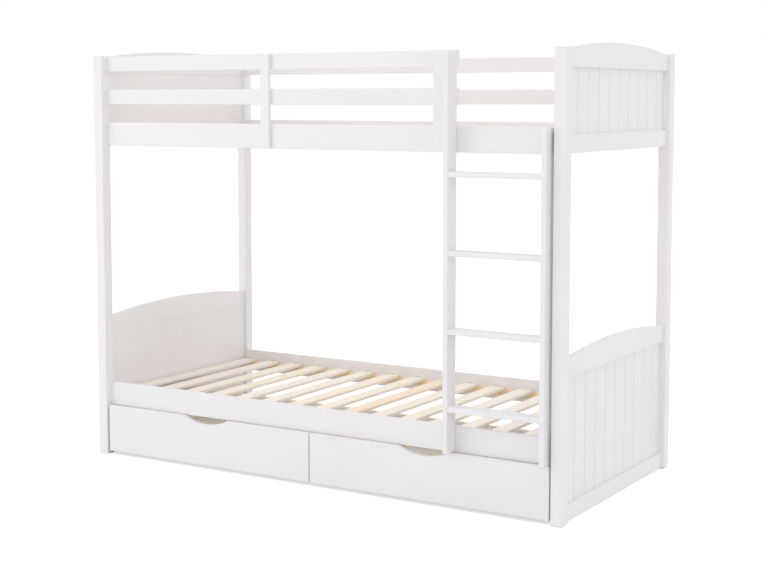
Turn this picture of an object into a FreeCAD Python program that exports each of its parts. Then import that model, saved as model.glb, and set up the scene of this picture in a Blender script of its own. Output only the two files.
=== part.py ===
"""Bunk bed in painted pine, with a fixed ladder and two drawers on castors.

Millimetres, +Z up. X runs along the bed, and the ladder stands on the front, at -Y.
The origin is on the floor, at the middle of the whole outline, ladder included.
"""
import FreeCAD, Part
import os
import re
import Sketcher
from FreeCAD import Placement, Rotation, Vector
from math import cos, radians, sin

doc = FreeCAD.newDocument("bunk_bed")

# ---------------------------------------------------------------- driving sizes

SIZES = (
    ("bed_length", 2080, "over the posts, along X"),
    ("bed_width", 1000, "over the posts, along Y"),
    ("post_height", 1620, "floor to post top"),
    ("post_width", 46, "post along X"),
    ("post_depth", 48, "post along Y"),
    ("post_rounding", 5, "radius of the post's upright edges"),
    ("foot_chamfer", 4, "chamfer round the post's foot"),
    ("top_rounding", 2, "radius round the post's top"),
    ("board_thickness", 18, "side rails and guards"),
    ("edge_rounding", 2.5, "radius of the painted boards' long edges"),
    ("lower_rail_bottom", 202, "floor to lower side rail"),
    ("lower_rail_height", 95, "lower side rail"),
    ("upper_rail_drop", 265, "post top down to the upper side rail's top"),
    ("upper_rail_height", 92, "upper side rail"),
    ("guard_height", 59, "guard board"),
    ("guard_top_drop", 3, "post top down to the top guard and the battens"),
    ("guard_gap", 72, "between the two guards"),
    ("batten_thickness", 17, "upright battens on the guards"),
    ("middle_batten_width", 38, "batten near mid length"),
    ("middle_batten_offset", 200, "its centre, left of mid length"),
    ("ladder_batten_width", 66, "batten beside the ladder"),
    ("ladder_post_gap", 9, "ladder to the right front post"),
    ("ladder_clear", 353, "between the stiles"),
    ("stile_thickness", 20, "stile along X"),
    ("stile_depth", 64, "stile along Y"),
    ("stile_rise", 4, "lower rail's bottom up to the stile's foot"),
    ("stile_top_drop", 4, "post top down to the long stile's top"),
    ("stile_corner", 8, "radius of the stile's top corners"),
    ("rung_thickness", 20, "rung height"),
    ("rung_depth", 60, "rung along Y"),
    ("rung_rounding", 4, "radius of the rung's edges"),
    ("first_rung_top", 375, "floor to the lowest tread"),
    ("last_rung_drop", 156.5, "upper side rail's top down to the highest tread"),
    ("end_inset", 13.5, "post's outer face back to the end rails"),
    ("end_board", 21.5, "end rails, along X"),
    ("panel_recess", 3, "end rail's inner face to the panel"),
    ("panel_thickness", 5.5, "grooved end panel"),
    ("panel_lap", 8, "panel edge let into each end rail"),
    ("groove_width", 6.5, "vee groove at the panel's face"),
    ("groove_depth", 2.5, "vee groove"),
    ("groove_pitch", 90.2, "groove to groove"),
    ("groove_offset", 12, "middle groove off the bed's centre line"),
    ("arch_rise", 26, "crown of the top end rails"),
    ("arch_shoulder", 32, "level stretch beside each post"),
    ("upper_arch_rise", 1, "post top up to the upper top rail's shoulder"),
    ("upper_arch_height", 65, "upper top rail at the post"),
    ("upper_sill_rise", 3, "upper side rail's bottom up to the upper bottom rail"),
    ("upper_sill_height", 63, "upper bottom rail"),
    ("lower_arch_bottom", 505, "floor to the lower top rail"),
    ("lower_arch_height", 66, "lower top rail at the post"),
    ("lower_sill_bottom", 5, "floor to the lower bottom rail"),
    ("lower_sill_height", 58, "lower bottom rail"),
    ("slat_width", 62, "slat along X"),
    ("slat_thickness", 12, "slat"),
    ("slat_drop", 39, "rail top down to the slats' top"),
    ("slat_edge", 1.5, "chamfer of the slats' edges"),
    ("slat_end_play", 2, "slat end to rail"),
    ("slat_left_gap", 5, "left end rails to the first slat"),
    ("slat_right_gap", 23, "last slat to the right end rails"),
    ("cleat_width", 20, "slat bearer along Y"),
    ("cleat_height", 20, "slat bearer"),
    ("bolt_radius", 3, "frame bolt's shank"),
    ("bolt_hole_radius", 3.5, "hole for the shank"),
    ("bolt_head_radius", 6, "hexagon head, over its corners"),
    ("bolt_head_height", 4, "hexagon head"),
    ("bolt_reach", 45, "shank past the joint, into the rail"),
    ("bolt_edge", 22, "rail edge to bolt axis"),
    ("bolt_hole_spare", 8, "hole past the bolt's tip"),
    ("counterbore_radius", 7.5, "seat of the head and its cap"),
    ("counterbore_depth", 10, "post's face down to the head's seat"),
    ("cap_thickness", 2, "cover caps of bolts and barrel nuts"),
    ("cap_play", 0.1, "cap to its hole, all round"),
    ("nut_radius", 5, "barrel nut"),
    ("nut_length", 13, "barrel nut"),
    ("nut_play", 0.1, "barrel nut and bolt in their holes"),
    ("nut_setback", 35, "rail end to barrel nut"),
    ("drawer_bottom_gap", 15, "floor to drawer front"),
    ("drawer_rail_lap", 1.5, "drawer front's top above the lower rail's bottom"),
    ("drawer_post_gap", 8, "drawer front to post"),
    ("drawer_middle_gap", 5, "between the two fronts"),
    ("drawer_recess", 7, "post's face back to drawer front"),
    ("drawer_front_thickness", 18, "drawer front"),
    ("drawer_depth", 575, "drawer box behind its front"),
    ("drawer_board", 15, "drawer sides and back"),
    ("drawer_side_inset", 12, "front's end to the box"),
    ("drawer_side_drop", 27.5, "front's top to the box's top"),
    ("drawer_floor_thickness", 8, "drawer floor"),
    ("floor_edge", 1, "radius of the drawer floor's edges"),
    ("notch_width", 216, "finger notch"),
    ("notch_depth", 24.5, "finger notch"),
    ("wheel_radius", 17, "castor wheel"),
    ("wheel_width", 13, "castor wheel"),
    ("wheel_chamfer", 2, "chamfer of the tread's edges"),
    ("axle_radius", 2.5, "castor axle"),
    ("axle_play", 0.06, "axle to wheel, all round"),
    ("wheel_side_gap", 1.2, "wheel to fork cheek"),
    ("wheel_top_gap", 6, "wheel to fork plate"),
    ("fork_sheet", 2, "castor's pressed sheet"),
    ("fork_plate_length", 44, "castor plate along Y"),
    ("fork_plate_width", 36, "castor plate along X"),
    ("fork_cheek_radius", 7, "cheek round the axle"),
    ("fork_cheek_top", 32, "cheek's width at the plate"),
    ("rivet_radius", 4, "axle's upset head"),
    ("rivet_height", 1.5, "axle's upset head"),
    ("castor_side_inset", 22, "box's side to castor's centre"),
    ("castor_end_inset", 70, "box's end to castor's centre"),
)
RUNG_COUNT = 4
GROOVE_COUNT = 9
SLAT_COUNT = 16

sheet = doc.addObject("Spreadsheet::Sheet", "Sizes")
for row, (alias, number, note) in enumerate(SIZES, start=1):
    sheet.set(f"A{row}", alias)
    sheet.set(f"B{row}", str(number))
    sheet.set(f"C{row}", note)
    sheet.setAlias(f"B{row}", alias)
doc.recompute()
ALIASES = {alias for alias, number, note in SIZES}


def formula(text):
    """An expression on the sheet, from one written with bare aliases."""
    return re.sub(r"[a-z_]+", lambda word: "Sizes." + word.group()
                  if word.group() in ALIASES else word.group(), str(text))


def value(text):
    """The number that an expression gives now."""
    return float(sheet.evalExpression(formula(text)))


def bind(thing, name, text):
    thing.setExpression(name, formula(text))


# ------------------------------------------- planes that the pieces share

BED_MIDDLE = "((stile_depth - post_depth + board_thickness) / 2)"
FRONT = f"({BED_MIDDLE} - bed_width / 2)"
BACK = f"({BED_MIDDLE} + bed_width / 2)"
RAIL_FRONT = f"({FRONT} + post_depth - board_thickness)"
INNER_FRONT = f"({FRONT} + post_depth)"
INNER_BACK = f"({BACK} - post_depth)"
INNER_WIDTH = "(bed_width - 2 * post_depth)"
POST_INNER = "(bed_length / 2 - post_width)"
RAIL_LENGTH = "(bed_length - 2 * post_width)"
END_INNER = "(bed_length / 2 - end_inset - end_board)"
LADDER_RIGHT = f"({POST_INNER} - ladder_post_gap)"
LADDER_LEFT = f"({LADDER_RIGHT} - ladder_clear - 2 * stile_thickness)"
LADDER_FRONT = f"({RAIL_FRONT} - stile_depth)"
LOWER_RAIL_TOP = "(lower_rail_bottom + lower_rail_height)"
UPPER_RAIL_TOP = "(post_height - upper_rail_drop)"
UPPER_RAIL_BOTTOM = f"({UPPER_RAIL_TOP} - upper_rail_height)"
GUARD_TOP = "(post_height - guard_top_drop)"
TOP_GUARD_BOTTOM = f"({GUARD_TOP} - guard_height)"
MIDDLE_GUARD_BOTTOM = f"({TOP_GUARD_BOTTOM} - guard_gap - guard_height)"
LOWER_SLAT_TOP = f"({LOWER_RAIL_TOP} - slat_drop)"
UPPER_SLAT_TOP = f"({UPPER_RAIL_TOP} - slat_drop)"

# ---------------------------------------------------------------- ways of making

PARTS = []
PLANES = {"X": "YZ_Plane", "Y": "XZ_Plane", "Z": "XY_Plane"}
HALF_TURN = Rotation(Vector(0, 0, 1), 180)
UNTURNED = Rotation()
NEAR = 0.01     # how close an edge lies to the height at which it is looked for


def new_body(label, place, turn=UNTURNED):
    """A body at its bound place; its own axes may be turned half round."""
    body = doc.addObject("PartDesign::Body", label)
    body.Label = label
    body.Placement = Placement(Vector(), turn)
    for axis, text in zip("xyz", place):
        bind(body, f"Placement.Base.{axis}", text)
    PARTS.append(body)
    return body


def new_sketch(body, normal, offset=None):
    """A sketch on the body's own plane across one axis, moved along that axis."""
    sketch = body.newObject("Sketcher::SketchObject", f"{body.Label}_sketch")
    plane = next(item for item in body.Origin.OriginFeatures if item.Role == PLANES[normal])
    sketch.AttachmentSupport = [(plane, "")]
    sketch.MapMode = "FlatFace"
    if offset is not None:
        bind(sketch, "AttachmentOffset.Base.z", offset)
    return sketch


def measure(sketch, kind, *where, size):
    """A sketch dimension bound to the sheet."""
    index = sketch.addConstraint(Sketcher.Constraint(kind, *where, value(size)))
    bind(sketch, f"Constraints[{index}]", size)


def pin(sketch, index, end, across, up):
    """Hold one point of the sketch at a bound place."""
    for kind, axis, text in (("DistanceX", -2, across), ("DistanceY", -1, up)):
        number = value(text)
        if number == 0:
            sketch.addConstraint(Sketcher.Constraint("PointOnObject", index, end, axis))
        elif number > 0:
            measure(sketch, kind, -1, 1, index, end, size=text)
        else:
            measure(sketch, kind, index, end, -1, 1, size=f"-({text})")


def close_loop(sketch, geometry, corners):
    """Join each piece's end to the next one's start, and hold the corners where they start."""
    for item in geometry:
        sketch.addGeometry(item, False)
    for index, (across, up) in enumerate(corners):
        following = (index + 1) % len(corners)
        sketch.addConstraint(Sketcher.Constraint("Coincident", index, 2, following, 1))
        pin(sketch, index, 1, across, up)


def polygon(sketch, corners):
    """Straight lines from corner to corner."""
    points = [Vector(value(across), value(up)) for across, up in corners]
    lines = [Part.LineSegment(point, points[(index + 1) % len(points)])
             for index, point in enumerate(points)]
    close_loop(sketch, lines, corners)


def rectangle(sketch, width, height, bottom="0"):
    """A rectangle that starts on the upright axis."""
    top = f"({bottom} + {height})"
    polygon(sketch, [("0", bottom), (width, bottom), (width, top), ("0", top)])


def chamfered_rectangle(sketch, width, height, cut):
    """A sawn slat's section, its corner at the origin and its edges chamfered."""
    far, top = f"({width} - {cut})", f"({height} - {cut})"
    polygon(sketch, [(cut, "0"), (far, "0"), (width, cut), (width, top),
                     (far, height), (cut, height), ("0", top), ("0", cut)])


def rounded_rectangle(sketch, width, height, radius):
    """A planed board's section, its corner at the origin and its edges eased."""
    wide, high, round_ = value(width), value(height), value(radius)
    sides = ((Vector(round_, 0), Vector(wide - round_, 0)),
             (Vector(wide, round_), Vector(wide, high - round_)),
             (Vector(wide - round_, high), Vector(round_, high)),
             (Vector(0, high - round_), Vector(0, round_)))
    middles = (Vector(wide - round_, round_), Vector(wide - round_, high - round_),
               Vector(round_, high - round_), Vector(round_, round_))
    reach = round_ * 0.5 ** 0.5
    bulges = (Vector(reach, -reach), Vector(reach, reach), Vector(-reach, reach),
              Vector(-reach, -reach))
    for index in range(4):
        start, end = sides[index]
        sketch.addGeometry(Part.LineSegment(start, end), False)
        next_start = sides[(index + 1) % 4][0]
        corner = Part.Arc(end, middles[index] + bulges[index], next_start)
        sketch.addGeometry(corner, False)
    for index in range(4):
        line, arc, next_line = 2 * index, 2 * index + 1, (2 * index + 2) % 8
        sketch.addConstraint(Sketcher.Constraint("Tangent", line, 2, arc, 1))
        sketch.addConstraint(Sketcher.Constraint("Tangent", arc, 2, next_line, 1))
        kind = "Horizontal" if index % 2 == 0 else "Vertical"
        sketch.addConstraint(Sketcher.Constraint(kind, line))
        if index:
            sketch.addConstraint(Sketcher.Constraint("Equal", 1, arc))
    measure(sketch, "Radius", 1, size=radius)
    sketch.addConstraint(Sketcher.Constraint("PointOnObject", 0, 1, -1))
    sketch.addConstraint(Sketcher.Constraint("PointOnObject", 6, 1, -2))
    measure(sketch, "DistanceX", 6, 1, 2, 1, size=width)
    measure(sketch, "DistanceY", 0, 1, 4, 1, size=height)


def circles(sketch, centres, radius):
    """Round holes at bound places."""
    for across, up in centres:
        spot = Vector(value(across), value(up))
        index = sketch.addGeometry(Part.Circle(spot, Vector(0, 0, 1), value(radius)), False)
        measure(sketch, "Radius", index, size=radius)
        measure(sketch, "DistanceX", -1, 1, index, 3, size=across)
        measure(sketch, "DistanceY", -1, 1, index, 3, size=up)


def pad(body, sketch, length, backwards=False):
    feature = body.newObject("PartDesign::Pad", f"{body.Label}_pad")
    feature.Profile = sketch
    feature.Reversed = backwards
    bind(feature, "Length", length)
    doc.recompute()
    return feature


def pocket(body, sketch, length, backwards=False):
    """A pocket; backwards cuts the way the sketch's normal points."""
    before = body.Shape.Volume
    feature = body.newObject("PartDesign::Pocket", f"{body.Label}_pocket")
    feature.Profile = sketch
    feature.Reversed = backwards
    bind(feature, "Length", length)
    doc.recompute()
    if not feature.Shape.Volume < before:
        raise RuntimeError(f"{body.Label}: a pocket cuts nothing")
    return feature


def repeat(body, feature, axis, length, count):
    """Copies of a feature along one of the body's own axes."""
    pattern = body.newObject("PartDesign::LinearPattern", f"{body.Label}_pattern")
    pattern.Originals = [feature]
    line = next(item for item in body.Origin.OriginFeatures if item.Role == f"{axis}_Axis")
    pattern.Direction = (line, [""])
    bind(pattern, "Length", length)
    pattern.Occurrences = count
    body.Tip = pattern
    doc.recompute()
    return pattern


def ease(body, kind, size, chosen):
    """Fillet or chamfer the edges of the body's shape that are chosen."""
    base = body.Tip
    names = [f"Edge{index}" for index, edge in enumerate(base.Shape.Edges, start=1)
             if chosen(edge)]
    feature = body.newObject(f"PartDesign::{kind}", f"{body.Label}_{kind.lower()}")
    feature.Base = (base, names)
    bind(feature, "Radius" if kind == "Fillet" else "Size", size)
    body.Tip = feature
    doc.recompute()
    return feature


def level_at(axis, height):
    """Chooses the edges that lie at one height along an axis."""
    index = "XYZ".index(axis)

    def chosen(edge):
        box = edge.BoundBox
        low = (box.XMin, box.YMin, box.ZMin)[index]
        high = (box.XMax, box.YMax, box.ZMax)[index]
        return abs(low - height) < NEAR and abs(high - height) < NEAR
    return chosen


def planed(label, along, place, extent, radius="edge_rounding", turn=UNTURNED):
    """A straight board: its eased section, padded along its length."""
    body = new_body(label, place, turn)
    across = [size for axis, size in zip("XYZ", extent) if axis != along]
    sketch = new_sketch(body, along)
    rounded_rectangle(sketch, across[0], across[1], radius)
    pad(body, sketch, extent["XYZ".index(along)], backwards=along == "Y")
    return body


def group(label, shapes):
    """Like pieces that share a node, each a solid of its own."""
    item = doc.addObject("Part::Feature", label)
    item.Label = label
    item.Shape = Part.makeCompound(shapes)
    PARTS.append(item)
    return item


# ------------------------------------------------ bolts: where each one goes

LOWER_BOLTS = ("(lower_rail_bottom + bolt_edge)", f"({LOWER_RAIL_TOP} - bolt_edge)")
UPPER_BOLTS = (f"({UPPER_RAIL_BOTTOM} + bolt_edge)", f"({UPPER_RAIL_TOP} - bolt_edge)")
GUARD_BOLTS = (f"({MIDDLE_GUARD_BOTTOM} + guard_height / 2)",
               f"({TOP_GUARD_BOTTOM} + guard_height / 2)")
RAIL_BOLTS = LOWER_BOLTS + UPPER_BOLTS
ALL_BOLTS = RAIL_BOLTS + GUARD_BOLTS
CORNERS = {
    "front_left": (-1, -1, ALL_BOLTS),
    "front_right": (1, -1, RAIL_BOLTS),
    "back_left": (-1, 1, ALL_BOLTS),
    "back_right": (1, 1, ALL_BOLTS),
}


# ---------------------------------------------------------------- posts

def make_post(corner):
    """A full-height post, bored along X for the bolts and counterbored for their heads."""
    side, depth_side, heights = CORNERS[corner]
    turn = UNTURNED if depth_side < 0 else HALF_TURN
    outer_first = side * depth_side > 0
    if turn is UNTURNED:
        across = "-bed_length / 2" if side < 0 else POST_INNER
        place = (across, FRONT, "0")
    else:
        across = f"-{POST_INNER}" if side < 0 else "bed_length / 2"
        place = (across, BACK, "0")
    body = planed(f"post_{corner}", "Z", place, ("post_width", "post_depth", "post_height"),
                  "post_rounding", turn)
    ease(body, "Chamfer", "foot_chamfer", level_at("Z", 0))
    ease(body, "Fillet", "top_rounding", level_at("Z", value("post_height")))
    centres = [("post_depth - board_thickness / 2", height) for height in heights]
    bores = new_sketch(body, "X")
    circles(bores, centres, "bolt_hole_radius")
    pocket(body, bores, "post_width", backwards=True)
    seats = new_sketch(body, "X", None if outer_first else "post_width")
    circles(seats, centres, "counterbore_radius")
    pocket(body, seats, "counterbore_depth", backwards=outer_first)


for corner in CORNERS:
    make_post(corner)


# ------------------------------------------------ side rails and guard boards

def make_side_board(label, front, bottom, height, bolts, length=RAIL_LENGTH, both_ends=True):
    """A board between posts, with bolt holes in its ends and barrel-nut holes inside."""
    if front:
        place, turn = (f"-{POST_INNER}", RAIL_FRONT, bottom), UNTURNED
    else:
        place, turn = (POST_INNER, f"{INNER_BACK} + board_thickness", bottom), HALF_TURN
    body = planed(label, "X", place, (length, "board_thickness", height), turn=turn)
    heights = [f"{bolt} - {bottom}" for bolt in bolts]
    ends = new_sketch(body, "X")
    circles(ends, [("board_thickness / 2", up) for up in heights], "bolt_hole_radius")
    bore = pocket(body, ends, "bolt_reach + bolt_hole_spare", backwards=True)
    if both_ends:
        repeat(body, bore, "X", f"{length} - bolt_reach - bolt_hole_spare", 2)
    faces = new_sketch(body, "Y", "-board_thickness")
    circles(faces, [("nut_setback", up) for up in heights], "nut_radius + nut_play")
    seat = pocket(body, faces, "(board_thickness + nut_length) / 2 + nut_play", backwards=True)
    if both_ends:
        repeat(body, seat, "X", f"{length} - 2 * nut_setback", 2)


GUARD_END = f"({LADDER_LEFT} + stile_thickness + {POST_INNER})"
LEVELS = {
    "rail_%s_lower": ("lower_rail_bottom", "lower_rail_height", LOWER_BOLTS),
    "rail_%s_upper": (UPPER_RAIL_BOTTOM, "upper_rail_height", UPPER_BOLTS),
    "guard_%s_middle": (MIDDLE_GUARD_BOTTOM, "guard_height", GUARD_BOLTS[:1]),
    "guard_%s_top": (TOP_GUARD_BOTTOM, "guard_height", GUARD_BOLTS[1:]),
}
for name, (bottom, height, bolts) in LEVELS.items():
    stops_at_ladder = name.startswith("guard")
    make_side_board(name % "front", True, bottom, height, bolts,
                    GUARD_END if stops_at_ladder else RAIL_LENGTH, not stops_at_ladder)
    make_side_board(name % "back", False, bottom, height, bolts)

# ---------------------------------------------------------------- battens

BATTEN_HEIGHT = f"({GUARD_TOP} - {UPPER_RAIL_BOTTOM})"
BATTEN_FRONT = f"({RAIL_FRONT} - batten_thickness)"
planed("batten_front_middle", "Z",
       ("-middle_batten_offset - middle_batten_width / 2", BATTEN_FRONT, UPPER_RAIL_BOTTOM),
       ("middle_batten_width", "batten_thickness", BATTEN_HEIGHT))
planed("batten_front_ladder", "Z",
       (f"{LADDER_LEFT} - ladder_batten_width", BATTEN_FRONT, UPPER_RAIL_BOTTOM),
       ("ladder_batten_width", "batten_thickness", BATTEN_HEIGHT))
planed("batten_back_middle", "Z",
       ("-middle_batten_width / 2", f"{INNER_BACK} + board_thickness", UPPER_RAIL_BOTTOM),
       ("middle_batten_width", "batten_thickness", BATTEN_HEIGHT))

# ---------------------------------------------------------------- ladder

STILE_FOOT = "(lower_rail_bottom + stile_rise)"


def make_stile(label, left, top):
    """A stile cut from board, its corners rounded and its faces' edges eased."""
    body = new_body(label, (left, LADDER_FRONT, STILE_FOOT))
    sketch = new_sketch(body, "X")
    rounded_rectangle(sketch, "stile_depth", f"{top} - {STILE_FOOT}", "stile_corner")
    pad(body, sketch, "stile_thickness")
    faces = (level_at("X", 0), level_at("X", value("stile_thickness")))
    ease(body, "Fillet", "edge_rounding", lambda edge: any(face(edge) for face in faces))


make_stile("ladder_stile_left", LADDER_LEFT, "(post_height - stile_top_drop)")
make_stile("ladder_stile_right", f"{LADDER_RIGHT} - stile_thickness",
           f"({UPPER_RAIL_TOP} - edge_rounding)")
RUNG_PITCH = f"(({UPPER_RAIL_TOP} - last_rung_drop - first_rung_top) / {RUNG_COUNT - 1})"
for number in range(RUNG_COUNT):
    planed(f"ladder_rung_{number + 1}", "X",
           (f"{LADDER_LEFT} + stile_thickness",
            f"{LADDER_FRONT} + (stile_depth - rung_depth) / 2",
            f"first_rung_top + {number} * {RUNG_PITCH} - rung_thickness"),
           ("ladder_clear", "rung_depth", "rung_thickness"), "rung_rounding")


# ---------------------------------------------------------------- end panels

def end_place(side, inward, bottom):
    """An end piece's corner: its own X points outwards from the bed at both ends."""
    if side > 0:
        return (inward, INNER_FRONT, bottom), UNTURNED
    return (f"-{inward}", INNER_BACK, bottom), HALF_TURN


def make_arched_rail(label, side, bottom, height):
    """A top end rail: level shoulders, a crowned top, and a groove for the panel."""
    place, turn = end_place(side, END_INNER, bottom)
    body = new_body(label, place, turn)
    sketch = new_sketch(body, "X")
    far = f"({INNER_WIDTH} - arch_shoulder)"
    corners = [("0", "0"), (INNER_WIDTH, "0"), (INNER_WIDTH, height), (far, height),
               ("arch_shoulder", height), ("0", height)]
    points = [Vector(value(across), value(up)) for across, up in corners]
    crown = Vector(value(f"{INNER_WIDTH} / 2"), value(f"{height} + arch_rise"))
    pieces = [Part.LineSegment(point, points[(index + 1) % len(points)])
              for index, point in enumerate(points)]
    pieces[3] = Part.Arc(points[3], crown, points[4])
    close_loop(sketch, pieces, corners)
    half_chord = f"({INNER_WIDTH} / 2 - arch_shoulder)"
    measure(sketch, "Radius", 3, size=f"({half_chord} ^ 2 + arch_rise ^ 2) / (2 * arch_rise)")
    pad(body, sketch, "end_board")
    groove = new_sketch(body, "X", "panel_recess")
    rectangle(groove, INNER_WIDTH, "panel_lap")
    pocket(body, groove, "panel_thickness", backwards=True)
    faces = (level_at("X", 0), level_at("X", value("end_board")))
    top = value(height) - NEAR
    ease(body, "Fillet", "edge_rounding", lambda edge: edge.BoundBox.ZMin > top
         and any(face(edge) for face in faces))


def make_sill_rail(label, side, bottom, height):
    """A bottom end rail, grooved along its top for the panel."""
    place, turn = end_place(side, END_INNER, bottom)
    body = planed(label, "Y", place, ("end_board", INNER_WIDTH, height), turn=turn)
    groove = new_sketch(body, "X", "panel_recess")
    rectangle(groove, INNER_WIDTH, "panel_lap", bottom=f"{height} - panel_lap")
    pocket(body, groove, "panel_thickness", backwards=True)


def make_panel(label, side, bottom, height):
    """A thin panel with upright vee grooves on its outer face."""
    place, turn = end_place(side, f"({END_INNER} + panel_recess)", bottom)
    body = new_body(label, place, turn)
    outline = new_sketch(body, "X")
    rectangle(outline, INNER_WIDTH, height)
    pad(body, outline, "panel_thickness")
    vee = new_sketch(body, "Z")
    first = f"({INNER_WIDTH} / 2 + groove_offset - groove_pitch * {GROOVE_COUNT - 1} / 2)"
    polygon(vee, [("panel_thickness", f"{first} - groove_width / 2"),
                  ("panel_thickness", f"{first} + groove_width / 2"),
                  ("panel_thickness - groove_depth", first)])
    groove = pocket(body, vee, height, backwards=True)
    repeat(body, groove, "Y", f"groove_pitch * {GROOVE_COUNT - 1}", GROOVE_COUNT)


ENDS = {
    "lower": ("lower_sill_bottom", "lower_arch_bottom"),
    "upper": (f"({UPPER_RAIL_BOTTOM} + upper_sill_rise)",
              "(post_height + upper_arch_rise - upper_arch_height)"),
}
for side, end in ((-1, "left"), (1, "right")):
    for level, (sill_bottom, arch_bottom) in ENDS.items():
        make_arched_rail(f"end_{end}_{level}_top_rail", side, arch_bottom,
                         f"{level}_arch_height")
        sill_top = f"({sill_bottom} + {level}_sill_height)"
        make_panel(f"end_{end}_{level}_panel", side, f"{sill_top} - panel_lap",
                   f"({arch_bottom} - {sill_top} + 2 * panel_lap)")
        make_sill_rail(f"end_{end}_{level}_bottom_rail", side, sill_bottom,
                       f"{level}_sill_height")


# ---------------------------------------------------------------- slats and bearers

SLAT_LENGTH = f"({INNER_WIDTH} - 2 * slat_end_play)"
SLAT_SPAN = f"(2 * {END_INNER} - slat_left_gap - slat_right_gap - slat_width)"
for level, top in (("lower", LOWER_SLAT_TOP), ("upper", UPPER_SLAT_TOP)):
    slats = new_body(f"slats_{level}", (f"slat_left_gap - {END_INNER}",
                                        f"{INNER_FRONT} + slat_end_play",
                                        f"{top} - slat_thickness"))
    slats.AllowCompound = True
    section = new_sketch(slats, "Y")
    chamfered_rectangle(section, "slat_width", "slat_thickness", "slat_edge")
    slat = pad(slats, section, SLAT_LENGTH, backwards=True)
    repeat(slats, slat, "X", SLAT_SPAN, SLAT_COUNT)
    cleats = new_body(f"slat_bearers_{level}", (f"-{POST_INNER}", INNER_FRONT,
                                               f"{top} - slat_thickness - cleat_height"))
    cleats.AllowCompound = True
    section = new_sketch(cleats, "X")
    rectangle(section, "cleat_width", "cleat_height")
    cleat = pad(cleats, section, RAIL_LENGTH)
    repeat(cleats, cleat, "Y", f"{INNER_WIDTH} - cleat_width", 2)

# ---------------------------------------------------------------- drawers

DRAWER_WIDTH = f"({POST_INNER} - drawer_post_gap - drawer_middle_gap / 2)"
DRAWER_HEIGHT = "(lower_rail_bottom + drawer_rail_lap - drawer_bottom_gap)"
DRAWER_FACE = f"({FRONT} + drawer_recess)"
BOX_FRONT = f"({DRAWER_FACE} + drawer_front_thickness)"
BOX_WIDTH = f"({DRAWER_WIDTH} - 2 * drawer_side_inset)"
FLOOR_BOTTOM = "(2 * wheel_radius + wheel_top_gap + fork_sheet)"
BOX_BOTTOM = f"({FLOOR_BOTTOM} + drawer_floor_thickness)"
BOX_TOP = f"(drawer_bottom_gap + {DRAWER_HEIGHT} - drawer_side_drop)"
BOX_HEIGHT = f"({BOX_TOP} - {BOX_BOTTOM})"


def make_drawer_front(label, left):
    """A drawer front with a shallow bow cut in its top for the fingers."""
    body = planed(label, "X", (left, DRAWER_FACE, "drawer_bottom_gap"),
                  (DRAWER_WIDTH, "drawer_front_thickness", DRAWER_HEIGHT))
    sketch = new_sketch(body, "Y")
    corners = [(f"({DRAWER_WIDTH} + notch_width) / 2", DRAWER_HEIGHT),
               (f"({DRAWER_WIDTH} - notch_width) / 2", DRAWER_HEIGHT)]
    right, left_end = [Vector(value(across), value(up)) for across, up in corners]
    low = Vector(value(f"{DRAWER_WIDTH} / 2"), value(f"{DRAWER_HEIGHT} - notch_depth"))
    close_loop(sketch, [Part.LineSegment(right, left_end), Part.Arc(left_end, low, right)],
               corners)
    measure(sketch, "Radius", 1,
            size="((notch_width / 2) ^ 2 + notch_depth ^ 2) / (2 * notch_depth)")
    pocket(body, sketch, "drawer_front_thickness")


def make_wheel(label, across, along):
    """A castor wheel: a turned plastic roller with a bore and eased rims."""
    body = new_body(label, (across, along, "wheel_radius"))
    profile = new_sketch(body, "Y")
    side = (("wheel_width / 2", "axle_radius + axle_play"),
            ("wheel_width / 2", "wheel_radius - wheel_chamfer"),
            ("wheel_width / 2 - wheel_chamfer", "wheel_radius"))
    polygon(profile, list(side) + [(f"-({across})", up) for across, up in reversed(side)])
    turned = body.newObject("PartDesign::Revolution", f"{label}_revolution")
    turned.Profile = profile
    line = next(item for item in body.Origin.OriginFeatures if item.Role == "X_Axis")
    turned.ReferenceAxis = (line, [""])
    doc.recompute()


def castor_fork():
    """A pressed fork: a screw plate on top and two cheeks that hold the axle."""
    sheet_metal, plate_top = value("fork_sheet"), value(FLOOR_BOTTOM)
    plate_bottom = plate_top - sheet_metal
    cheek_gap = value("wheel_width + 2 * wheel_side_gap")
    plate_x, plate_y = value("fork_plate_width"), value("fork_plate_length")
    plate = Part.makeBox(plate_x, plate_y, sheet_metal,
                         Vector(-plate_x / 2, -plate_y / 2, plate_bottom))
    axle_height, round_ = value("wheel_radius"), value("fork_cheek_radius")
    half_top = value("fork_cheek_top / 2")
    cheeks = []
    for start in (-cheek_gap / 2 - sheet_metal, cheek_gap / 2):
        right, left = Vector(start, round_, axle_height), Vector(start, -round_, axle_height)
        outline = Part.Wire([
            Part.LineSegment(Vector(start, -half_top, plate_bottom),
                             Vector(start, half_top, plate_bottom)).toShape(),
            Part.LineSegment(Vector(start, half_top, plate_bottom), right).toShape(),
            Part.Arc(right, Vector(start, 0, axle_height - round_), left).toShape(),
            Part.LineSegment(left, Vector(start, -half_top, plate_bottom)).toShape()])
        cheeks.append(Part.Face(outline).extrude(Vector(sheet_metal, 0, 0)))
    hole = Part.makeCylinder(value("axle_radius"), plate_x,
                             Vector(-plate_x / 2, 0, axle_height), Vector(1, 0, 0))
    return plate.fuse(cheeks).cut(hole).removeSplitter()


def castor_axle():
    """The axle, upset outside both cheeks."""
    reach = value("wheel_width / 2 + wheel_side_gap + fork_sheet")
    axis, height = Vector(1, 0, 0), value("wheel_radius")
    shank = Part.makeCylinder(value("axle_radius"), 2 * reach, Vector(-reach, 0, height), axis)
    head, thick = value("rivet_radius"), value("rivet_height")
    ends = [Part.makeCylinder(head, thick, Vector(start, 0, height), axis)
            for start in (-reach - thick, reach)]
    return shank.fuse(ends).removeSplitter()


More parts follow.
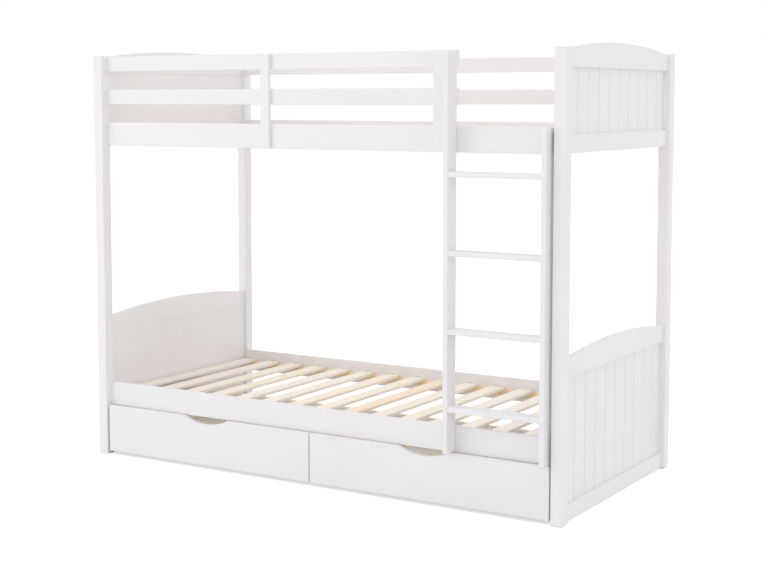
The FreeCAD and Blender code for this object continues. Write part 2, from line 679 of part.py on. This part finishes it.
DRAWERS = {"left": f"(drawer_post_gap - {POST_INNER})", "right": "(drawer_middle_gap / 2)"}
for hand, left in DRAWERS.items():
    name = f"drawer_{hand}"
    box_left = f"({left} + drawer_side_inset)"
    make_drawer_front(f"{name}_front", left)
    planed(f"{name}_side_left", "Y", (box_left, BOX_FRONT, BOX_BOTTOM),
           ("drawer_board", "drawer_depth", BOX_HEIGHT))
    planed(f"{name}_side_right", "Y",
           (f"{box_left} + {BOX_WIDTH} - drawer_board", BOX_FRONT, BOX_BOTTOM),
           ("drawer_board", "drawer_depth", BOX_HEIGHT))
    planed(f"{name}_back", "X",
           (f"{box_left} + drawer_board", f"{BOX_FRONT} + drawer_depth - drawer_board",
            BOX_BOTTOM), (f"{BOX_WIDTH} - 2 * drawer_board", "drawer_board", BOX_HEIGHT))
    planed(f"{name}_floor", "X", (box_left, BOX_FRONT, FLOOR_BOTTOM),
           (BOX_WIDTH, "drawer_depth", "drawer_floor_thickness"), "floor_edge")
    forks = []
    for end, along in (("front", f"({BOX_FRONT} + castor_end_inset)"),
                       ("back", f"({BOX_FRONT} + drawer_depth - castor_end_inset)")):
        for flank, across in (("left", f"({box_left} + castor_side_inset)"),
                              ("right", f"({box_left} + {BOX_WIDTH} - castor_side_inset)")):
            make_wheel(f"{name}_wheel_{end}_{flank}", across, along)
            spot = Vector(value(across), value(along), 0)
            forks += [castor_fork().translated(spot), castor_axle().translated(spot)]
    group(f"{name}_castor_forks", forks)

# ------------------------------------------------ frame bolts, barrel nuts and caps

def frame_bolt():
    """A hexagon bolt along +X, the seat of its head at the origin."""
    shank = value("post_width - counterbore_depth + bolt_reach")
    reach, thick = value("bolt_head_radius"), value("bolt_head_height")
    corners = [Vector(0, reach * cos(radians(angle)), reach * sin(radians(angle)))
               for angle in range(0, 360, 60)]
    head = Part.Face(Part.makePolygon(corners + corners[:1])).extrude(Vector(-thick, 0, 0))
    return Part.makeCylinder(value("bolt_radius"), shank, Vector(), Vector(1, 0, 0)).fuse(head)


def barrel_nut():
    """A barrel nut across the bolt, bored for it."""
    length = value("nut_length")
    barrel = Part.makeCylinder(value("nut_radius"), length, Vector(0, -length / 2, 0),
                               Vector(0, 1, 0))
    bore = Part.makeCylinder(value("bolt_radius + nut_play"), 4 * value("nut_radius"),
                             Vector(-2 * value("nut_radius"), 0, 0), Vector(1, 0, 0))
    return barrel.cut(bore)


def cover_cap(hole, inward):
    """A flat cap that closes a round hole flush with the face that it is in."""
    return Part.makeCylinder(value(f"{hole} - cap_play"), value("cap_thickness"),
                             Vector(), inward)


bolts, nuts, caps = [], [], []
for side, depth_side, heights in CORNERS.values():
    turn = UNTURNED if side < 0 else HALF_TURN
    across = value(f"{INNER_FRONT} - board_thickness / 2" if depth_side < 0
                   else f"{INNER_BACK} + board_thickness / 2")
    board_inside = value(INNER_FRONT if depth_side < 0 else INNER_BACK)
    outer = value("bed_length / 2")
    seat = outer - value("counterbore_depth")
    nut_at = value(f"{POST_INNER} - nut_setback")
    for height in heights:
        level = value(height)
        for shapes, piece, distance in (
                (bolts, frame_bolt(), seat), (nuts, barrel_nut(), nut_at),
                (caps, cover_cap("counterbore_radius", Vector(1, 0, 0)), outer)):
            piece.Placement = Placement(Vector(side * distance, across, level), turn)
            shapes.append(piece)
        nut_cap = cover_cap("nut_radius + nut_play", Vector(0, depth_side, 0))
        caps.append(nut_cap.translated(Vector(side * nut_at, board_inside, level)))
group("frame_bolts", bolts)
group("barrel_nuts", nuts)
group("bolt_caps", caps)

# ---------------------------------------------------------------- check and write

doc.recompute()
for item in doc.Objects:
    if {"Invalid", "Error"} & set(item.State):
        raise RuntimeError(f"{item.Label} did not compute: {item.State}")
for item in PARTS:
    if item.Shape.isNull() or not item.Shape.isValid() or not item.Shape.Solids:
        raise RuntimeError(f"{item.Label} has no valid solid")
os.makedirs("parts", exist_ok=True)
for item in PARTS:
    item.Shape.exportStep(f"parts/{item.Label}.step")
print(len(PARTS), "nodes,", sum(len(item.Shape.Solids) for item in PARTS), "solids")
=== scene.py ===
from math import pi, radians

import bpy
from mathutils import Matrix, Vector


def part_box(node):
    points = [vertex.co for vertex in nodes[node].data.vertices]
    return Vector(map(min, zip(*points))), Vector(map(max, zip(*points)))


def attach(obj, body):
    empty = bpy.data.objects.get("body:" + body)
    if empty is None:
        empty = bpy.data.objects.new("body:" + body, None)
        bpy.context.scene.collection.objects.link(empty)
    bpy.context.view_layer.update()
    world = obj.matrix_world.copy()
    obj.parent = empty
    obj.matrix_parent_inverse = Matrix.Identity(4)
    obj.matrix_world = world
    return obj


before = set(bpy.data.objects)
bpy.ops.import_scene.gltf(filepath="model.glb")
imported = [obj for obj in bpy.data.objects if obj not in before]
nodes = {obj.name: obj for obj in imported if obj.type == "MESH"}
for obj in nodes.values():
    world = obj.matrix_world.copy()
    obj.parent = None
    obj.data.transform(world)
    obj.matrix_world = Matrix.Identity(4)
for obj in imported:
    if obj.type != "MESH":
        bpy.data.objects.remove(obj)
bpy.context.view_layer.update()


# ---------------------------------------------------------------- Posts
# Four square posts of planed pine, full height, with rounded upright edges and eased tops.
# They are sprayed with white satin paint, thin enough for the grain and knots to show faintly.

class Finish:
    """One socket of a finish's nodes, so that its sums are written as plain Python."""

    def __init__(self, tree, socket=None):
        self.tree, self.socket = tree, socket

    def node(self, kind, sockets, out=0, **settings):
        """Adds a node: its settings first, then the values or links of its sockets."""
        made = self.tree.nodes.new(f"ShaderNode{kind}")
        for name, setting in settings.items():
            setattr(made, name, setting)
        for key, given in sockets.items():
            if isinstance(given, Finish):
                self.tree.links.new(given.socket, made.inputs[key])
            else:
                made.inputs[key].default_value = given
        return Finish(self.tree, made.outputs[out])

    def __add__(self, other):
        return self.node("Math", {0: self, 1: other}, operation="ADD")

    def __sub__(self, other):
        return self.node("Math", {0: self, 1: other}, operation="SUBTRACT")

    def __rsub__(self, other):
        return self.node("Math", {0: other, 1: self}, operation="SUBTRACT")

    def __mul__(self, other):
        return self.node("Math", {0: self, 1: other}, operation="MULTIPLY")

    def __truediv__(self, other):
        return self.node("Math", {0: self, 1: other}, operation="DIVIDE")

    __radd__, __rmul__ = __add__, __mul__

    def span(self, low, high):
        """0 below low, 1 above high, and smooth between them."""
        return self.node("MapRange", {"Value": self, "From Min": low, "From Max": high},
                         interpolation_type="SMOOTHSTEP")

    def tint(self, under, over):
        """A colour that goes from under to over as this value goes from 0 to 1."""
        return self.node("Mix", {0: self, 6: under, 7: over}, out=2, data_type="RGBA")


def written(red, green, blue):
    """The shader's colour for one written in the 0 to 255 of a screen."""
    levels = [level / 255 for level in (red, green, blue)]
    return (*[level / 12.92 if level < 0.04 else ((level + 0.055) / 1.055) ** 2.4
              for level in levels], 1)


def stretched(place, **factors):
    """The place with some axes shrunk, so that a pattern is drawn out along them."""
    return place.node("VectorMath", {0: place, 1: [factors.get(axis, 1) for axis in "XYZ"]},
                      operation="MULTIPLY")


def start(name):
    """A new material, with its own shader's sockets and the place on the object."""
    material = bpy.data.materials.new(name)
    material.use_nodes = True
    tree = material.node_tree
    return material, tree.nodes["Principled BSDF"].inputs, Finish(tree).node(
        "TexCoord", {}, out="Object")


def connect(place, sockets, **links):
    """Links each value to the shader's socket of its name, with _ for a space."""
    for name, given in links.items():
        place.tree.links.new(given.socket, sockets[name.replace("_", " ")])


KNOT_LENGTH, KNOT_DEPTH = 0.5, 0.08     # a branch is cut a little long, and runs on inwards
KNOT_HEART = 0.3                        # the part of its radius that is darkest


def knots(place, grain, through, spacing, size):
    """1 at the heart of each knot: branches run through a board, across its grain."""
    branches = stretched(place, **{grain: KNOT_LENGTH, through: KNOT_DEPTH})
    away = place.node("TexVoronoi", {"Vector": branches, "Scale": 1 / spacing}, out="Distance")
    return 1 - away.span(KNOT_HEART * size / spacing, size / spacing)


PAINT = written(239, 237, 239)
PAINT_THIN = written(230, 226, 223)     # where the wood shows through
PAINT_KNOT = written(224, 214, 200)
PAINT_GROOVE_SHADE = written(219, 215, 215)   # painted shade in the bottoms of the panels' grooves
FIBRES, FIBRE_STRETCH = 240, 0.04       # the grain's fine fibres, drawn out along the board
FIGURE, RINGS = 22, 75                  # the growth rings' slow figure, and how close they are
PATCHES, PATCH_STRETCH = 7, 0.4         # thinner and thicker patches of the coat
SPRAY = 700                             # the sprayed coat's own skin
PAINT_KNOTS = 0.33, 0.011               # from one knot to the next, and a knot's radius
RELIEF = 0.0003                         # how deep the grain shows in a surface
SATIN = 0.38


def painted_pine(name, grain, through, groove_shade=None):
    """White satin paint on planed pine whose grain runs along one axis; the optional mask paints
    shade into grooves.
    """
    material, shader, place = start(name)
    fibres = stretched(place, **{grain: FIBRE_STRETCH})
    fine = place.node("TexNoise", {"Vector": fibres, "Scale": FIBRES, "Detail": 4,
                                   "Roughness": 0.65})
    figure = place.node("TexNoise", {"Vector": fibres, "Scale": FIGURE, "Detail": 1,
                                     "Distortion": 1.2})
    rings = figure.node("Math", {0: figure * RINGS}, operation="SINE").span(0.3, 1)
    patches = stretched(place, **{grain: PATCH_STRETCH})
    cloudy = place.node("TexNoise", {"Vector": patches, "Scale": PATCHES, "Detail": 2})
    spray = place.node("TexNoise", {"Vector": place, "Scale": SPRAY, "Detail": 1})
    knot = knots(place, grain, through, *PAINT_KNOTS)
    thin = cloudy.span(0.42, 0.7)
    shade = rings * thin * 0.2 + fine.span(0.5, 0.8) * (thin * 0.15 + 0.08) + thin * 0.1
    colour = (knot * 0.22).tint(shade.tint(PAINT, PAINT_THIN), PAINT_KNOT)
    # Painted shade: the paint is darker in the bottoms of the grooves that the mask gives.
    if groove_shade:
        colour = groove_shade(place).tint(colour, PAINT_GROOVE_SHADE)
    height = fine * 0.5 + rings * 0.3 - knot * 0.5 + spray * 0.25
    bump = place.node("Bump", {"Height": height, "Distance": RELIEF, "Strength": 0.25})
    connect(place, shader, Base_Color=colour, Roughness=cloudy * 0.12 + fine * 0.1 + SATIN,
            Normal=bump)
    return material


def dress(material, *names):
    """Gives CAD nodes their finish."""
    for name in names:
        nodes[name].data.materials.clear()
        nodes[name].data.materials.append(material)


paint_upright = painted_pine("white_paint_upright", "Z", "Y")
dress(paint_upright, "post_front_left", "post_front_right", "post_back_left", "post_back_right")

# ---------------------------------------------------------------- Side rails and guards
# Straight pine boards between the posts, front and back, with rounded long edges.
# They are painted like the posts, and bolted through them.

paint_long = painted_pine("white_paint_long", "X", "Y")
dress(paint_long, *[f"{board}_{side}_{level}" for side in ("front", "back")
                    for board, level in (("rail", "lower"), ("rail", "upper"),
                                         ("guard", "middle"), ("guard", "top"))])

# ---------------------------------------------------------------- Battens
# Upright boards that tie the guards to the upper rails. Those at the front are screwed on
# from the inside, the one at the back from outside, with crowned cross-head screws.

ZINC = written(205, 207, 210)
FACINGS = {"+X": (0, pi / 2, 0), "-X": (0, -pi / 2, 0), "+Y": (-pi / 2, 0, 0),
           "-Y": (pi / 2, 0, 0), "+Z": (0, 0, 0), "-Z": (pi, 0, 0)}
SCREW_EDGE = 0.013                      # board's edge to screw
BOARD_SCREW = 0.0038                    # its head's radius
HEAD_SIDES = 16
HEAD_DEPTH, HEAD_SINK = 0.5, 0.17       # these and the next three rows in parts of the radius
HEAD_FOOT = 0.5
CROWN_EDGE, CROWN_RISE = 0.24, 0.09
CROSS_LENGTH, CROSS_WIDTH, CROSS_DEPTH, CROSS_HEIGHT = 1.1, 0.24, 0.28, 0.16
UPWARD = 0.9                            # the normal of a face that looks up is over this in Z
ZINC_GRAINS = 400
ZINC_DARKEST = 0.82
ZINC_ROUGH, ZINC_UNEVEN = 0.28, 0.15


def plated(name):
    """Zinc plate: pale, slightly patchy and softly bright."""
    material, shader, place = start(name)
    patches = place.node("TexVoronoi", {"Vector": place, "Scale": ZINC_GRAINS},
                         out="Color")
    patch = place.node("SeparateXYZ", {0: patches}, out="X")
    darker = (*[channel * ZINC_DARKEST for channel in ZINC[:3]], 1)
    shader["Metallic"].default_value = 1
    connect(place, shader, Base_Color=patch.tint(ZINC, darker),
            Roughness=patch * ZINC_UNEVEN + ZINC_ROUGH)
    return material


def choose_faces(piece, wanted):
    """Goes into edit mode with only the wanted faces selected."""
    for part in (*piece.data.vertices, *piece.data.edges):
        part.select = False
    for face in piece.data.polygons:
        face.select = wanted(face)
    bpy.ops.object.mode_set(mode="EDIT")
    bpy.ops.mesh.select_mode(type="FACE")


def cross_head(radius, finish):
    """A countersunk screw's head, crowned a little above the wood; it faces +Z."""
    bpy.ops.object.select_all(action="DESELECT")
    bpy.ops.mesh.primitive_cylinder_add(vertices=HEAD_SIDES, radius=radius,
                                        depth=HEAD_DEPTH * radius,
                                        location=(0, 0, -HEAD_SINK * radius))
    head = bpy.context.object
    choose_faces(head, lambda face: face.normal.z < -UPWARD)
    bpy.ops.transform.resize(value=(HEAD_FOOT, HEAD_FOOT, 1))
    bpy.ops.object.mode_set(mode="OBJECT")
    choose_faces(head, lambda face: face.normal.z > UPWARD)
    bpy.ops.mesh.inset(thickness=CROWN_EDGE * radius, depth=CROWN_RISE * radius)
    bpy.ops.object.mode_set(mode="OBJECT")
    for turn in (0, pi / 2):
        bpy.ops.mesh.primitive_cube_add(size=1, location=(0, 0, CROSS_HEIGHT * radius),
                                        rotation=(0, 0, turn))
        blade = bpy.context.object
        blade.scale = (CROSS_LENGTH * radius, CROSS_WIDTH * radius, CROSS_DEPTH * radius)
        slit = head.modifiers.new("slit", "BOOLEAN")
        slit.object = blade
        bpy.ops.object.select_all(action="DESELECT")
        bpy.context.view_layer.objects.active = head
        bpy.ops.object.modifier_apply(modifier="slit")
        bpy.data.objects.remove(blade)
    head.data.materials.append(finish)
    return head


def fasten(model, name, spots, body):
    """A copy of the model at each spot, facing its way, all joined into one piece."""
    copies = []
    for place, facing in spots:
        copy = model.copy()
        copy.data = model.data.copy()
        bpy.context.collection.objects.link(copy)
        copy.location, copy.rotation_euler = place, FACINGS[facing]
        copies.append(copy)
    bpy.ops.object.select_all(action="DESELECT")
    for copy in copies:
        copy.select_set(True)
    bpy.context.view_layer.objects.active = copies[0]
    bpy.ops.object.join()
    bpy.ops.object.transform_apply(location=True, rotation=True, scale=True)
    piece = bpy.context.object
    piece.name = name
    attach(piece, body)


def board_screws(boards, columns, facing):
    """Spots on the boards' faces, near their bottom and top edges, at each column's X."""
    spots = []
    for board in boards:
        low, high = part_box(board)
        face = high.y if facing == "+Y" else low.y
        spots += [((across, face, height), facing) for across in columns
                  for height in (low.z + SCREW_EDGE, high.z - SCREW_EDGE)]
    return spots


def middle(node):
    """The middle of a CAD node's box."""
    low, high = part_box(node)
    return (low + high) / 2


dress(paint_upright, "batten_front_middle", "batten_front_ladder", "batten_back_middle")
zinc = plated("zinc_plate")
screw = cross_head(BOARD_SCREW, zinc)
wide_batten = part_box("batten_front_ladder")
columns = (middle("batten_front_middle").x, wide_batten[0].x + SCREW_EDGE,
           wide_batten[1].x - SCREW_EDGE)
fasten(screw, "batten_screws_front",
       board_screws(("rail_front_upper", "guard_front_middle", "guard_front_top"), columns, "+Y"),
       "frame")
outer_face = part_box("batten_back_middle")[1].y
back_spots = board_screws(("rail_back_upper", "guard_back_middle", "guard_back_top"),
                          (middle("batten_back_middle").x,), "+Y")
fasten(screw, "batten_screws_back",
       [((across, outer_face, height), facing) for (across, _, height), facing in back_spots],
       "frame")

# ---------------------------------------------------------------- Ladder
# A long and a short stile, screwed on from inside the rails, with four treads between them.
# The treads' screws are hidden under white press-on caps on the stiles' outer faces.

RUNGS = [f"ladder_rung_{number}" for number in range(1, 5)]
RUNG_SCREW_SPREAD = 0.015               # tread's middle to each of its two screws
RUNG_CAP, RUNG_CAP_RISE = 0.006, 0.0012     # radius, and how far it stands proud
CAP_SIDES = 24
RIM_EASE = 0.5                          # of the cap's rise
SMOOTH_UNDER = 40                       # degrees at which the rim still looks round
SPARK_SKIN, HANDLING = 1500, 60         # plastic's fine skin, and its wear from handling
SKIN_RELIEF = 0.0001
WORN, WORN_DULL = 0.9, 0.15             # handled places: their colour, and the gloss they lose


def moulded(name, colour, gloss):
    """Moulded plastic with a fine spark-eroded skin."""
    material, shader, place = start(name)
    skin = place.node("TexNoise", {"Vector": place, "Scale": SPARK_SKIN, "Detail": 2})
    worn = place.node("TexNoise", {"Vector": place, "Scale": HANDLING, "Detail": 3})
    bump = place.node("Bump", {"Height": skin, "Distance": SKIN_RELIEF, "Strength": 0.3})
    darker = (*[channel * WORN for channel in colour[:3]], 1)
    connect(place, shader, Base_Color=worn.span(0.3, 0.7).tint(colour, darker),
            Roughness=worn * WORN_DULL + gloss, Normal=bump)
    return material


def press_on_cap(radius, rise, finish):
    """A low cap with an eased rim; it faces +Z."""
    bpy.ops.object.select_all(action="DESELECT")
    bpy.ops.mesh.primitive_cylinder_add(vertices=CAP_SIDES, radius=radius, depth=rise,
                                        location=(0, 0, rise / 2))
    cap = bpy.context.object
    choose_faces(cap, lambda face: face.normal.z > UPWARD)
    bpy.ops.mesh.bevel(offset=RIM_EASE * rise, segments=2, affect="EDGES")
    bpy.ops.object.mode_set(mode="OBJECT")
    bpy.ops.object.shade_smooth_by_angle(angle=radians(SMOOTH_UNDER))
    cap.data.materials.append(finish)
    return cap


dress(paint_upright, "ladder_stile_left", "ladder_stile_right")
dress(paint_long, *RUNGS)
long_stile, short_stile = middle("ladder_stile_left").x, middle("ladder_stile_right").x
fasten(screw, "ladder_screws",
       board_screws(("rail_front_lower", "rail_front_upper"), (long_stile, short_stile), "+Y")
       + board_screws(("guard_front_middle", "guard_front_top"), (long_stile,), "+Y"),
       "frame")
white_plastic = moulded("cap_plastic", PAINT, 0.3)
stile_cap = press_on_cap(RUNG_CAP, RUNG_CAP_RISE, white_plastic)
spots = []
for rung in RUNGS:
    centre = middle(rung)
    for across, facing in ((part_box("ladder_stile_left")[0].x, "-X"),
                           (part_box("ladder_stile_right")[1].x, "+X")):
        spots += [((across, centre.y + offset, centre.z), facing)
                  for offset in (-RUNG_SCREW_SPREAD, RUNG_SCREW_SPREAD)]
fasten(stile_cap, "rung_screw_caps", spots, "frame")
bpy.data.objects.remove(stile_cap)

# ---------------------------------------------------------------- Ends
# Arched top rails, bottom rails and thin grooved panels, upper and lower at both ends. All are
# of painted pine: the panels are let into the rails, and the rails are fixed between the posts.

paint_across = painted_pine("white_paint_across", "Y", "X")
GROOVE_PITCH = 0.0902
MIDDLE_GROOVE = 0.029                   # its Y
GROOVE_FLOOR = 1.011                    # its distance from the bed's middle
FLOOR_BLUR = 0.001                      # the painted groove shade starts this softly behind it
GROOVE_CORE, GROOVE_EDGE = 0.0005, 0.003    # distances from a groove's middle line


def groove_shade_mask(place):
    """1 in the bottom of each vee groove of a panel's outer face, where shade is painted, 0 on
    its flat parts.
    """
    across = place.node("SeparateXYZ", {0: place}, out="Y") - MIDDLE_GROOVE
    away = across.node("Math", {0: across, 1: GROOVE_PITCH / 2}, operation="PINGPONG")
    along = place.node("SeparateXYZ", {0: place}, out="X")
    outward = along.node("Math", {0: along}, operation="ABSOLUTE")
    bottom = 1 - away.span(GROOVE_CORE, GROOVE_EDGE)
    return bottom * outward.span(GROOVE_FLOOR - FLOOR_BLUR, GROOVE_FLOOR)


# The panels' paint carries painted shade in the bottoms of their vee grooves.
paint_panel = painted_pine("white_paint_panel", "Z", "X", groove_shade=groove_shade_mask)
for end in ("left", "right"):
    for level in ("lower", "upper"):
        dress(paint_across, f"end_{end}_{level}_top_rail", f"end_{end}_{level}_bottom_rail")
        dress(paint_panel, f"end_{end}_{level}_panel")

# ---------------------------------------------------------------- Slats and bearers
# Sixteen unpainted pine slats a bunk, each screwed down at both ends to square bearers that
# are fixed along the side rails' inner faces.

SLATS = 16
SLAT_WIDTH = 0.062
SLAT_MARGIN = 0.02                      # a slat's tone starts this far before its edge
SLAT_SCREW = 0.008                      # slat's end to its screw, over the bearer's middle
WARM_SLAT = 8                           # the resinous one, counted from 0 at the left
PINE_PALE = written(252, 246, 238)
PINE_STRAW = written(252, 242, 226)
PINE_ROSY = written(252, 242, 234)
PINE_WARM = written(252, 236, 214)
# painted warm shade on the back bearers' tops between the slats' ends
PINE_SHADED_ORANGE = written(252, 222, 176)
PINE_LINE = written(247, 231, 208)
PINE_KNOT = written(120, 82, 56)
BARE_FIBRES, BARE_STRETCH = 420, 0.03
BARE_FIGURE, BARE_RINGS = 26, 90
BARE_KNOTS = 0.24, 0.008                # from one knot to the next, and a knot's radius


def bare_pine(name, grain, through, tones, figured=1):
    """Planed, unpainted pine; tones gives its ground colour from the place."""
    material, shader, place = start(name)
    fibres = stretched(place, **{grain: BARE_STRETCH})
    fine = place.node("TexNoise", {"Vector": fibres, "Scale": BARE_FIBRES, "Detail": 3,
                                   "Roughness": 0.7})
    figure = place.node("TexNoise", {"Vector": fibres, "Scale": BARE_FIGURE, "Detail": 1,
                                     "Distortion": 0.6})
    lines = figure.node("Math", {0: figure * BARE_RINGS}, operation="SINE").span(0.2, 1)
    knot = knots(place, grain, through, *BARE_KNOTS)
    dark = (lines * 0.3 + fine.span(0.4, 0.8) * 0.25) * figured
    grown = dark.tint(tones(place), PINE_LINE)
    colour = knot.tint(grown, PINE_KNOT)
    bump = place.node("Bump", {"Height": fine * 0.6 + lines * 0.4, "Distance": RELIEF,
                               "Strength": 0.4})
    connect(place, shader, Base_Color=colour, Roughness=fine * 0.2 + 0.5, Normal=bump)
    return material


def slat_row(level):
    """The lowest and highest corner of a bunk's slats, and from one slat to the next."""
    low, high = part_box(f"slats_{level}")
    return low, high, (high.x - low.x - SLAT_WIDTH) / (SLATS - 1)


def slat_tones(place):
    """Each slat has a tone of its own, and one is much warmer."""
    low, _, pitch = slat_row("lower")
    across = place.node("SeparateXYZ", {0: place}, out="X")
    slat = across.node("Math", {0: (across - (low.x - SLAT_MARGIN)) / pitch}, operation="FLOOR")
    chance = place.node("TexWhiteNoise", {"W": slat}, noise_dimensions="1D")
    other = place.node("TexWhiteNoise", {"W": slat + 40.5}, noise_dimensions="1D")
    warm = place.node("Math", {0: slat, 1: WARM_SLAT, 2: 0.5}, operation="COMPARE")
    plain = other.span(0.5, 1).tint(chance.span(0.2, 0.9).tint(PINE_PALE, PINE_STRAW), PINE_ROSY)
    return warm.tint(plain, PINE_WARM)


def bearer_shade_tones(place):
    """Painted light and shade: paler at the front to lift the front rail's shade, orange at the
    back for the warm shade beyond the slats' ends.
    """
    depth = place.node("SeparateXYZ", {0: place}, out="Y")
    return depth.span(-0.1, 0.1).tint(PINE_PALE, PINE_SHADED_ORANGE)


slat_pine = bare_pine("slat_pine", "Y", "Z", slat_tones)
bearer_pine = bare_pine("bearer_pine", "X", "Y", bearer_shade_tones)
dress(slat_pine, "slats_lower", "slats_upper")
dress(bearer_pine, "slat_bearers_lower", "slat_bearers_upper")
for level in ("lower", "upper"):
    low, high, pitch = slat_row(level)
    fasten(screw, f"slat_screws_{level}",
           [((low.x + SLAT_WIDTH / 2 + number * pitch, along, high.z), "+Z")
            for number in range(SLATS)
            for along in (low.y + SLAT_SCREW, high.y - SLAT_SCREW)], "frame")

# ---------------------------------------------------------------- Drawers
# Two boxes of bare pine boards on a thin floor, behind painted fronts with a bowed finger
# notch. The sides are screwed to the back.

PINE_WHITE = written(254, 252, 249)
BOX_SCREW_EDGE = 0.02                   # box side's edges to the screws into the back


def box_tones(place):
    """The drawers' boards are the palest, and differ a little from place to place."""
    cloudy = place.node("TexNoise", {"Vector": place, "Scale": 5, "Detail": 1})
    return cloudy.span(0.3, 0.7).tint(PINE_WHITE, PINE_PALE)


box_pine = bare_pine("drawer_pine", "Y", "X", box_tones, figured=0.5)
back_pine = bare_pine("drawer_back_pine", "X", "Y", box_tones, figured=0.5)
for hand in ("left", "right"):
    name = f"drawer_{hand}"
    dress(paint_long, f"{name}_front")
    dress(box_pine, f"{name}_side_left", f"{name}_side_right", f"{name}_floor")
    dress(back_pine, f"{name}_back")
    spots = []
    for flank, facing in (("left", "-X"), ("right", "+X")):
        low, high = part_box(f"{name}_side_{flank}")
        spots += [((low.x if flank == "left" else high.x, middle(f"{name}_back").y, height),
                   facing) for height in (low.z + BOX_SCREW_EDGE, high.z - BOX_SCREW_EDGE)]
    fasten(screw, f"{name}_box_screws", spots, name)
bpy.data.objects.remove(screw)

# ---------------------------------------------------------------- Castors
# Grey nylon rollers on zinc-plated steel axles, in pressed forks under each drawer's corners.
# Four small screws hold each fork's plate to the drawer's floor.

NYLON = written(92, 92, 95)
FORK_SHEET = 0.002
PLATE_SCREW = 0.0026                    # its head's radius
PLATE_SCREWS = [(across, along) for across in (-0.0135, 0.0135) for along in (-0.0165, 0.0165)]

nylon = moulded("castor_nylon", NYLON, 0.4)
small_screw = cross_head(PLATE_SCREW, zinc)
for hand in ("left", "right"):
    name = f"drawer_{hand}"
    dress(zinc, f"{name}_castor_forks")
    plate_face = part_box(f"{name}_floor")[0].z - FORK_SHEET
    spots = []
    for end in ("front", "back"):
        for flank in ("left", "right"):
            wheel = f"{name}_wheel_{end}_{flank}"
            dress(nylon, wheel)
            centre = middle(wheel)
            spots += [((centre.x + across, centre.y + along, plate_face), "-Z")
                      for across, along in PLATE_SCREWS]
    fasten(small_screw, f"{name}_castor_screws", spots, name)
bpy.data.objects.remove(small_screw)

# ---------------------------------------------------------------- Bed bolts
# Zinc-plated steel bolts through the posts, and the barrel nuts that they draw up in the
# rails. White press-in plastic caps cover the bolts' heads and the nuts' holes.

dress(zinc, "frame_bolts", "barrel_nuts")
dress(white_plastic, "bolt_caps")

# ---------------------------------------------------------------- Floor, light and camera
# A plain white floor and sky, one large soft lamp from the front left, and the photo's view.

FLOOR_SIZE = 60
FLOOR_GREY = 0.85
FLOOR_GLOW = 0.55                       # not cast on the bed: it only makes the floor look white


def seen_rays(place):
    """1 for what the camera sees, straight or in a gloss or through glass."""
    rays = [place.node("LightPath", {}, out=name) for name in
            ("Is Camera Ray", "Is Glossy Ray", "Is Transmission Ray")]
    return place.node("Clamp", {0: rays[0] + rays[1] + rays[2]})


bpy.ops.object.select_all(action="DESELECT")
bpy.ops.mesh.primitive_plane_add(size=FLOOR_SIZE, location=(0, 0, 0))
floor = bpy.context.object
floor.name = "floor"
white, shader, place = start("white_floor")
shader["Base Color"].default_value = (FLOOR_GREY, FLOOR_GREY, FLOOR_GREY, 1)
shader["Roughness"].default_value = 0.9
shader["Specular IOR Level"].default_value = 0
shader["Emission Color"].default_value = (1, 1, 1, 1)
connect(place, shader, Emission_Strength=seen_rays(place) * FLOOR_GLOW)
floor.data.materials.append(white)

world = bpy.data.worlds.new("studio")
bpy.context.scene.world = world
world.use_nodes = True
sky = world.node_tree.nodes["Background"].inputs
sky["Strength"].default_value = 1
sky["Color"].default_value = (1, 1, 1, 1)

LAMP_PLACE, LAMP_TILT, LAMP_TURN = (-3.2, -4.2, 2.6), 70, -37
LAMP_SIZE, LAMP_WATTS = 2, 23
bpy.ops.object.light_add(type="AREA", location=LAMP_PLACE,
                         rotation=(radians(LAMP_TILT), 0, radians(LAMP_TURN)))
lamp = bpy.context.object
lamp.name = "soft_lamp"
lamp.data.size = LAMP_SIZE
lamp.data.energy = LAMP_WATTS

PHOTO_WIDTH = 768                       # this and the next two in its pixels
FOCAL_LENGTH = 1484.9
SHIFT = -60
CAMERA_PLACE, CAMERA_DOWN, CAMERA_TURN = (3.0962, -4.9873, 1.4415), 4.898, 31.52
bpy.ops.object.camera_add(location=CAMERA_PLACE,
                          rotation=(radians(90 - CAMERA_DOWN), 0, radians(CAMERA_TURN)))
camera = bpy.context.object
camera.data.lens = FOCAL_LENGTH * camera.data.sensor_width / PHOTO_WIDTH
camera.data.shift_y = SHIFT / PHOTO_WIDTH
bpy.context.scene.camera = camera
bpy.context.scene.view_settings.view_transform = "Standard"
